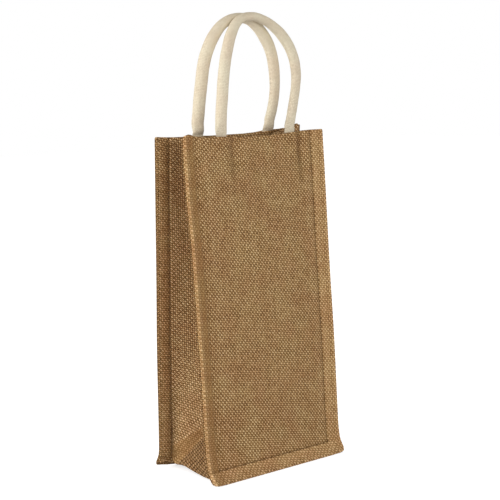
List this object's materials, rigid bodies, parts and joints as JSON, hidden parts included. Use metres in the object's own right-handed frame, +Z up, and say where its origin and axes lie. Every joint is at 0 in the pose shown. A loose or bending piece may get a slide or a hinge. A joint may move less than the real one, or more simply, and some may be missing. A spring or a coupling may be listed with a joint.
{
  "type": "bottle carrier bag",
  "caption": "Upright jute carrier bag for bottles, with stitched outer margins, folded side gussets and padded canvas loop handles that swing outwards.",
  "frame": {"origin": "centre of the footprint, on the surface that the bag stands on", "axes": "+Z up; X along the width of the panels; the front panel faces -Y"},
  "size_m": [0.185, 0.1, 0.4716],
  "materials": {
    "jute": "coarse plain weave, dry and matt",
    "canvas": "fine cream cotton canvas, matt",
    "rope": "soft cotton rope filling",
    "jute_thread": "brown sewing thread",
    "canvas_thread": "cream sewing thread"
  },
  "bodies": {
    "bag": {"front_panel": "jute", "back_panel": "jute", "gusset_strip": "jute", "front_facing": "jute", "back_facing": "jute", "front_left_tab": "canvas", "front_right_tab": "canvas", "back_left_tab": "canvas", "back_right_tab": "canvas", "front_frame_stitching": "jute_thread", "back_frame_stitching": "jute_thread", "front_hem_stitching": "jute_thread", "back_hem_stitching": "jute_thread", "left_gusset_hem_stitching": "jute_thread", "right_gusset_hem_stitching": "jute_thread"},
    "front_handle": {"front_handle_sleeve": "canvas", "front_handle_core": "rope", "front_sleeve_stitching": "canvas_thread"},
    "back_handle": {"back_handle_sleeve": "canvas", "back_handle_core": "rope", "back_sleeve_stitching": "canvas_thread"}
  },
  "joints": [
    {"name": "front_handle_swing", "type": "hinge", "parent": "bag", "child": "front_handle", "pos_m": [0, -0.01986, 0.3525], "axis": [1, 0, 0], "range_deg": [0, 100]},
    {"name": "back_handle_swing", "type": "hinge", "parent": "bag", "child": "back_handle", "pos_m": [0, 0.01986, 0.3525], "axis": [-1, 0, 0], "range_deg": [0, 100]}
  ]
}
